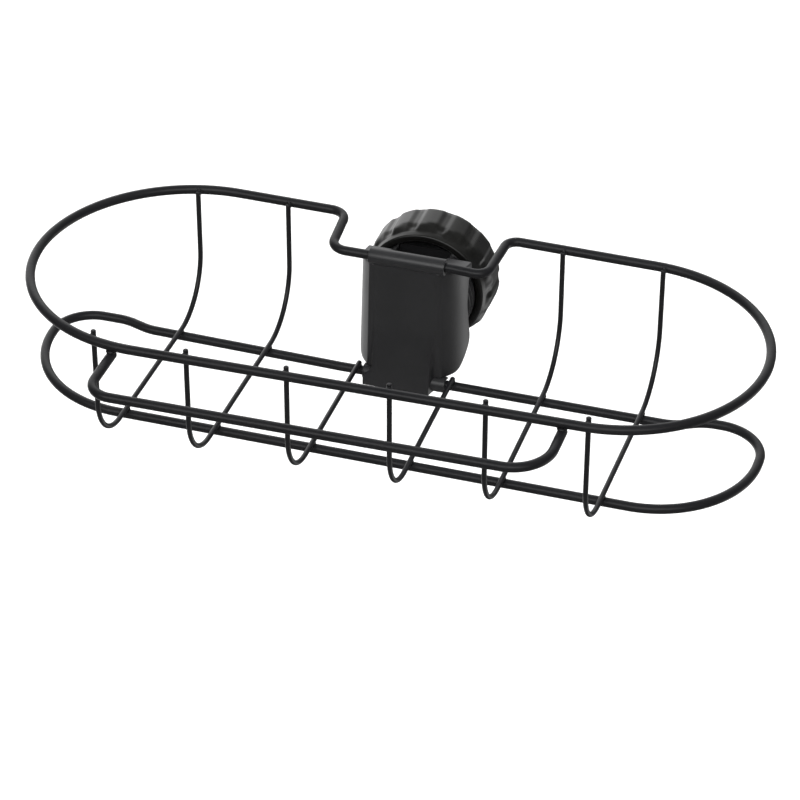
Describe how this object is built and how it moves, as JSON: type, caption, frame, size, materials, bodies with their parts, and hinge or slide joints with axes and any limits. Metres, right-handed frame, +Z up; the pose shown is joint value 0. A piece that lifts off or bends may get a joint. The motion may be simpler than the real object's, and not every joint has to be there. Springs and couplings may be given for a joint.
{
  "type": "faucet organizer rack",
  "caption": "Wire basket with a towel rail in front that hangs on a faucet's round neck, held by a clamp with a screw nut behind.",
  "frame": {"origin": "on the axis of the faucet neck that the clamp holds, level with the middle of the clamp", "axes": "+X to the right along the basket, +Y away from the basket along the screw, +Z up along the neck"},
  "size_m": [0.3826, 0.207, 0.0772],
  "materials": {
    "powder_coat": "satin black powder coat on steel wire",
    "black_plastic": "moulded black plastic, semi-gloss",
    "grip_plastic": "moulded black plastic with a fine satin grain",
    "rubber": "matte black rubber"
  },
  "bodies": {
    "rack": {"top_ring": "powder_coat", "bottom_ring": "powder_coat", "towel_rail": "powder_coat", "basket_wire_1": "powder_coat", "basket_wire_2": "powder_coat", "basket_wire_3": "powder_coat", "basket_wire_4": "powder_coat", "basket_wire_5": "powder_coat", "basket_wire_6": "powder_coat", "clamp_body": "black_plastic", "fixed_jaw_pad": "rubber"},
    "pressure_plate": {"pressure_block": "black_plastic", "pressure_pad": "rubber"},
    "screw_nut": {"clamp_nut": "grip_plastic"}
  },
  "joints": [
    {"name": "jaw_slide", "type": "slide", "parent": "rack", "child": "pressure_plate", "axis": [0, 1, 0], "range_m": [-0.006, 0.006]},
    {"name": "nut_turn", "type": "hinge", "parent": "pressure_plate", "child": "screw_nut", "pos_m": [0, 0, 0], "axis": [0, 1, 0], "range_deg": [-540, 540]}
  ],
  "couplings": [
    {"joint": "jaw_slide", "follows": "nut_turn", "m_per_rad": 0.0006366}
  ]
}
